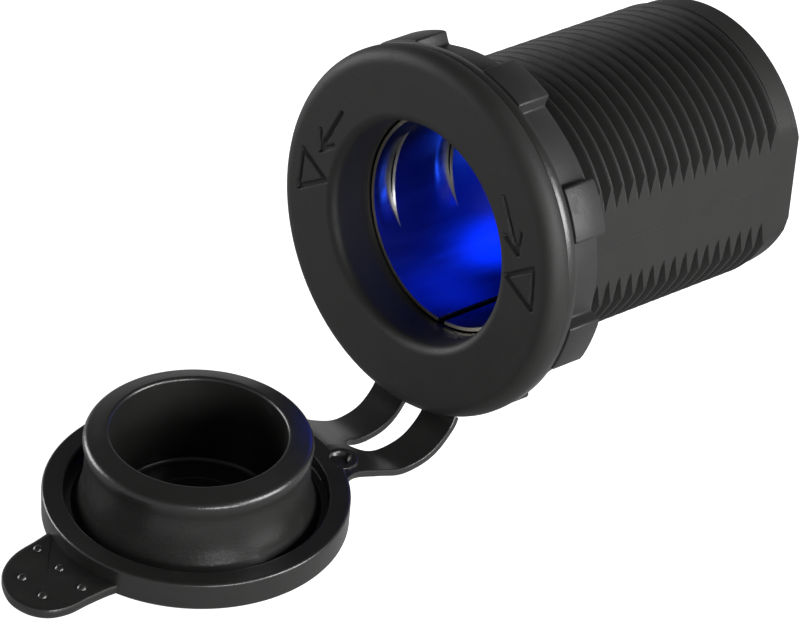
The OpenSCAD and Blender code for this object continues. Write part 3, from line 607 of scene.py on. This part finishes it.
TAB_POINTS = [(-6.0, -12.6), (-5.7, -15.4), (-5.45, -18.2), (-4.5, -20.44), (-2.9, -22.0), (-0.7, -22.95),
              (1.6, -22.75), (3.3, -21.6), (4.1, -19.7), (4.2, -17.4), (4.4, -14.9), (4.9, -12.6)]
LOBE_R, LOBE_LOW, LOBE_TOP, LOBE_EDGE = 1.7, -1.6, -0.1, 0.1
PIT_SIDE, PIT_BACK, PIT_UP, PIT_R = 5.1, 14.2, 0.4, 1.2


def in_cap(points):
    """Points of the open cap's own frame (side, back, up) placed in the row frame."""
    points = np.asarray(points, float)
    return CAP_MID + points[:, :1] * CAP_SIDE + points[:, 1:2] * CAP_BACK + points[:, 2:3] * CAP_UP


def cap_body():
    """Disc, rim, channel and cup, turned from one profile of radius and height."""
    turns = np.radians(np.arange(0, 360, 2.5))
    profile = [(0, -DISC_T), (DISC_FOOT_R, -DISC_T)]
    profile += arc(DISC_FOOT_R, -DISC_T + DISC_ROUND, DISC_ROUND, 285, 350, 4)
    profile += [(DISC_R, -RIM_ROUND - 0.05)] + arc(DISC_R - RIM_ROUND, -RIM_ROUND, RIM_ROUND, 15, 90, 5)
    profile += [(RIM_IN + RIM_IN_ROUND, 0)]
    profile += arc(RIM_IN + RIM_IN_ROUND, -RIM_IN_ROUND, RIM_IN_ROUND, 110, 180, 4)
    profile += [(RIM_IN, -CHANNEL + CHANNEL_EDGE), (RIM_IN - CHANNEL_EDGE, -CHANNEL)] + CUP_OUTSIDE
    profile += arc(*LIP_MID, LIP_ROUND, -8, 78, 9) + LIP_TOP + arc(*LIP_IN_MID, LIP_IN_ROUND, 90, 180, 6)
    rings = []
    for r, up in profile + CUP_INSIDE:
        around = turns if r else [0]
        rings.append(in_cap([(r * math.sin(a), r * math.cos(a), up) for a in around]))
    return skin(rings)


def rounded_slab(outline, low, high, edge):
    """A closed slab with rounded top and bottom edges over an outline given in the cap's frame."""
    outline = np.array(outline, float)
    ahead, behind = np.roll(outline, -1, axis=0), np.roll(outline, 1, axis=0)
    along = (ahead - behind) / np.linalg.norm(ahead - behind, axis=1)[:, None]
    inward = np.stack([along[:, 1], -along[:, 0]], axis=1)
    centre = outline.mean(axis=0)
    if ((centre - outline) * inward).sum() < 0:
        inward = -inward
    rounding = [(edge + SLAB_RING, 0), (edge, 0), (edge * EDGE_MID, edge * EDGE_MID), (0, edge)]
    levels = [(inset, low + rise) for inset, rise in rounding]
    levels += [(inset, high - rise) for inset, rise in rounding[::-1]]
    rings = [in_cap([(*centre, low)])]
    for inset, up in levels:
        rings.append(in_cap(np.column_stack([outline + inward * inset, np.full(len(outline), up)])))
    return skin(rings + [in_cap([(*centre, high)])])


def through(points, steps):
    """A smooth open line through points, as Catmull-Rom spans."""
    points = [2 * np.array(points[0]) - np.array(points[1])] + [np.array(p, float) for p in points]
    points.append(2 * points[-1] - points[-2])
    line = []
    for a, b, c, d in zip(points, points[1:], points[2:], points[3:]):
        for t in np.arange(steps) / steps:
            bend, twist = 2 * a - 5 * b + 4 * c - d, 3 * b - a - 3 * c + d
            line.append(0.5 * (2 * b + (c - a) * t + bend * t**2 + twist * t**3))
    line.append(points[-2])
    return line


def ball(centre, r, rings, around):
    """A closed ball at a place of the cap's frame."""
    made = []
    for k in range(rings + 1):
        pole, tilt = k in (0, rings), math.pi * k / rings
        turns = [0] if pole else np.linspace(0, 2 * math.pi, around, endpoint=False)
        spread = 0 if pole else r * math.sin(tilt)
        made.append(in_cap([(centre[0] + spread * math.cos(a), centre[1] + spread * math.sin(a),
                             centre[2] + r * math.cos(tilt)) for a in turns]))
    return skin(made)


def even_shading(made, sharp):
    """Smooth shading in which the large flat faces keep their own direction."""
    smooth(made, sharp)
    weighted = made.modifiers.new("weighted", "WEIGHTED_NORMAL")
    weighted.keep_sharp, weighted.weight = True, 100
    bake_modifiers(made)


def joined(base, other, operation):
    """Boolean of two pieces, kept as the first one's plain mesh."""
    cut = base.modifiers.new("cut", "BOOLEAN")
    cut.operation, cut.solver, cut.object = operation, "MANIFOLD", other
    bake_modifiers(base)
    bpy.data.objects.remove(other)


TAB = through(TAB_POINTS, 6)
LOBE = [(PIT_SIDE + LOBE_R * math.sin(t), PIT_BACK + LOBE_R * math.cos(t))
        for t in np.linspace(0, 2 * math.pi, 48, endpoint=False)]
cap = piece("soft_dust_cap", cap_body(), scale=1)
joined(cap, piece("tab", rounded_slab(TAB, TAB_LOW, TAB_LOW + TAB_T, TAB_EDGE), scale=1), "UNION")
joined(cap, piece("lobe", rounded_slab(LOBE, LOBE_LOW, LOBE_TOP, LOBE_EDGE), scale=1), "UNION")
joined(cap, piece("pit", ball((PIT_SIDE, PIT_BACK, PIT_UP), PIT_R, 14, 32), scale=1), "DIFFERENCE")
cap.data.transform(Matrix.Scale(MM, 4))
even_shading(cap, sharp=38)
dress(cap, SOFT_BLACK, "cap", "cap_rubber", "dust_cap")

# Grip domes: five small round bumps of the same moulding on the pull tab.
# They give the thumb a hold.
DOME_R, DOME_UP = 0.52, 0.95
DOMES = ((-4.44, -16.17), (-0.86, -16.56), (-2.06, -20.19), (2.71, -16.91), (1.26, -20.56))


def dome_tree():
    """Geometry Nodes that set one ball on each point, with the ball's radius as a named input."""
    tree = bpy.data.node_groups.new("grip_domes", "GeometryNodeTree")
    tree.interface.new_socket("Geometry", in_out="INPUT", socket_type="NodeSocketGeometry")
    radius = tree.interface.new_socket("Dome radius", in_out="INPUT", socket_type="NodeSocketFloat")
    tree.interface.new_socket("Geometry", in_out="OUTPUT", socket_type="NodeSocketGeometry")
    given, out = tree.nodes.new("NodeGroupInput"), tree.nodes.new("NodeGroupOutput")
    dome, place, real, finish = (tree.nodes.new("GeometryNode" + kind) for kind in
                                 ("MeshUVSphere", "InstanceOnPoints", "RealizeInstances", "SetMaterial"))
    dome.inputs["Segments"].default_value, dome.inputs["Rings"].default_value = 24, 12
    finish.inputs["Material"].default_value = SOFT_BLACK
    link = tree.links.new
    link(given.outputs["Dome radius"], dome.inputs["Radius"])
    link(given.outputs["Geometry"], place.inputs["Points"])
    link(dome.outputs["Mesh"], place.inputs["Instance"])
    link(place.outputs["Instances"], real.inputs["Geometry"])
    link(real.outputs["Geometry"], finish.inputs["Geometry"])
    link(finish.outputs["Geometry"], out.inputs["Geometry"])
    return tree, radius.identifier


dome_places = in_cap([(side, back, TAB_LOW + DOME_UP) for side, back in DOMES])
domes = piece("grip_domes", ([tuple(p) for p in dome_places], []))
grow = domes.modifiers.new("domes", "NODES")
grow.node_group, radius_input = dome_tree()
grow[radius_input] = DOME_R * MM
bake_modifiers(domes)
smooth(domes, sharp=40)
dress(domes, SOFT_BLACK, "cap", "cap_rubber")

# Straps: two flat bands of the same moulding, side by side; on the real cap they bend as it is opened and
# closed, and here they are built as they lie with the cap open.
# The spine is the line between them, and FLAT_TURN gives their yaw and roll at each of its points.
# They are built in two halves, one by the ring and one by the cap.
STRAP_T, STRAP_INNER, STRAP_OUTER, STRAP_ROUND, SPAN_STEPS = 0.75, 1.3, 5.65, 0.16, 6
SPINE = [(0.0, -0.85, -18.2), (0.25, -1.5, -19.0), (0.75, -2.95, -19.7), (1.08, -4.6, -20.38),
         (1.2, -6.4, -20.8), (1.25, -8.7, -20.85), (1.36, -11.5, -20.0), (1.47, -14.6, -18.98),
         (2.3, -16.75, -18.88)]
FLAT_TURN = [(-2.3, 0), (-3, 0), (-4.3, 0), (-5.5, 0), (-6.5, 0), (-7.5, 0), (-9.6, 0), (-13.9, -2),
             (-17.6, -6.4)]
CROTCH, PAST_CROTCH = {33: 1.22, 34: 0.98, 35: 0.55}, -0.12


def strap_sections(side):
    """Rounded sections of one strap; past the crotch it widens inward until the two straps meet."""
    spine, flats = np.array(through(SPINE, SPAN_STEPS)), np.radians(through(FLAT_TURN, SPAN_STEPS))
    sections = []
    for k, (mid, way, (yaw, roll)) in enumerate(zip(spine, np.gradient(spine, axis=0), flats)):
        flat = np.array([math.cos(yaw) * math.cos(roll), math.sin(yaw) * math.cos(roll), math.sin(roll)])
        down = np.cross(flat, way)
        down /= np.linalg.norm(down)
        inner = CROTCH.get(k, STRAP_INNER if k < min(CROTCH) else PAST_CROTCH)
        off, half, thick = side * (STRAP_OUTER + inner) / 2, (STRAP_OUTER - inner) / 2, STRAP_T / 2
        ring = []
        for (right, below), begin in (((1, 1), 0), ((-1, 1), 90), ((-1, -1), 180), ((1, -1), 270)):
            for turn in (0, 30, 60, 90):
                a = math.radians(begin + turn)
                aside = off + right * (half - STRAP_ROUND) + STRAP_ROUND * math.cos(a)
                depth = thick + below * (thick - STRAP_ROUND) + STRAP_ROUND * math.sin(a)
                ring.append(mid + flat * aside + down * depth)
        sections.append(np.array(ring))
    return sections


bands = [strap_sections(side) for side in (-1, 1)]


def strap_half(name, first, last):
    """The two straps from one section to another, as one closed mesh."""
    left, right = (piece(name, skin([[part[0].mean(axis=0)]] + part + [[part[-1].mean(axis=0)]]), scale=1)
                   for part in (rings[first:last + 1] for rings in bands))
    joined(left, right, "UNION")
    left.data.transform(Matrix.Scale(MM, 4))
    even_shading(left, sharp=40)
    left.data.materials.clear()
    left.data.materials.append(SOFT_BLACK)
    return left


last = len(bands[1]) - 1
middle = last // 2
near_half = strap_half("straps_by_the_ring", 0, middle)
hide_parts("cap_strap")
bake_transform(near_half)
far_half = strap_half("straps_by_the_cap", middle, last)
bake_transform(far_half)

# Floor, lights and camera: a pale plain floor under the open cap, and soft studio light.
# The camera stands where the photograph was taken. Its places and the lights' are in metres.
EYE, LOOK = Vector((0.3717, -0.4064, 0.2713)), Vector((-0.6051, 0.6538, -0.4544))
UP = Vector((-0.3799, 0.2644, 0.8864))
LENS, SENSOR, SHIFT_X, SHIFT_Y = 283.9, 36, 0.0034, 0.0005
FLOOR_DROP, FLOOR_HALF, FLOOR_GREY, FLOOR_GLOW, FLOOR_GLOW_SEEN = 0.05 * MM, 6, (0.5, 0.5, 0.5, 1), 0.15, 1
FLOOR_ROUGH, FLOOR_GLOSS = 0.9, 0.1
WHITE, HORIZON, OVERHEAD, DIM_FROM, DIM_TO = (1, 1, 1, 1), 0.62, 0.08, 0.05, 0.65


def floor():
    """A level square that looks almost white to the camera and throws back little light."""
    low = min(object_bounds()[0][2], cad_box[0][2]) - FLOOR_DROP
    mesh = bpy.data.meshes.new("floor")
    corners = ((-1, -1), (1, -1), (1, 1), (-1, 1))
    mesh.from_pydata([(FLOOR_HALF * x, FLOOR_HALF * y, low) for x, y in corners], [], [(0, 1, 2, 3)])
    made = bpy.data.objects.new("floor", mesh)
    bpy.context.scene.collection.objects.link(made)
    material, tree, shader = new_material("pale_floor")
    shader.inputs["Base Color"].default_value = FLOOR_GREY
    shader.inputs["Roughness"].default_value = FLOOR_ROUGH
    shader.inputs["Specular IOR Level"].default_value = FLOOR_GLOSS
    shader.inputs["Emission Color"].default_value = WHITE
    seen, strength = tree.nodes.new("ShaderNodeLightPath"), between(tree, FLOOR_GLOW, FLOOR_GLOW_SEEN)
    tree.links.new(seen.outputs["Is Camera Ray"], strength.inputs["Value"])
    tree.links.new(strength.outputs["Result"], shader.inputs["Emission Strength"])
    made.data.materials.append(material)
    made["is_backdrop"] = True


floor()


def softbox(name, place, aim, size, power):
    """A rectangle of soft white light that faces its aim."""
    light = bpy.data.lights.new(name, "AREA")
    light.shape, light.size, light.size_y, light.energy = "RECTANGLE", size[0], size[1], power
    made = bpy.data.objects.new(name, light)
    made.location = place
    made.rotation_euler = (Vector(aim) - Vector(place)).to_track_quat("-Z", "Y").to_euler()
    bpy.context.scene.collection.objects.link(made)


softbox("right_softbox", place=(0.6, 0.2, 0.22), aim=(0, 0, 0), size=(0.4, 0.3), power=6)
softbox("low_right_softbox", place=(0.75, -0.3, 0.03), aim=(0, -0.03, -0.02), size=(0.4, 0.2), power=5)
softbox("left_softbox", place=(-0.6, -0.25, 0.12), aim=(0, -0.03, -0.02), size=(0.4, 0.3), power=3)


def studio_world():
    """Light room, bright at the horizon and dim overhead, so that upright faces are lit most."""
    world = bpy.data.worlds.new("studio")
    bpy.context.scene.world = world
    world.use_nodes = True
    tree = world.node_tree
    place, split = tree.nodes.new("ShaderNodeTexCoord"), tree.nodes.new("ShaderNodeSeparateXYZ")
    height = between(tree, HORIZON, OVERHEAD)
    height.inputs["From Min"].default_value, height.inputs["From Max"].default_value = DIM_FROM, DIM_TO
    tree.links.new(place.outputs["Generated"], split.inputs["Vector"])
    tree.links.new(split.outputs["Z"], height.inputs["Value"])
    tree.links.new(height.outputs["Result"], tree.nodes["Background"].inputs["Strength"])
    tree.nodes["Background"].inputs["Color"].default_value = WHITE


studio_world()
bpy.context.scene.view_settings.view_transform = "Standard"

lens = bpy.data.cameras.new("camera")
lens.lens, lens.sensor_width, lens.shift_x, lens.shift_y = LENS, SENSOR, SHIFT_X, SHIFT_Y
lens.clip_start, lens.clip_end = 0.01, 50
camera = bpy.data.objects.new("camera", lens)
back = -LOOK.normalized()
right = UP.cross(back).normalized()
camera.matrix_world = Matrix.Translation(EYE) @ Matrix((right, back.cross(right), back)).transposed().to_4x4()
bpy.context.scene.collection.objects.link(camera)
bpy.context.scene.camera = camera
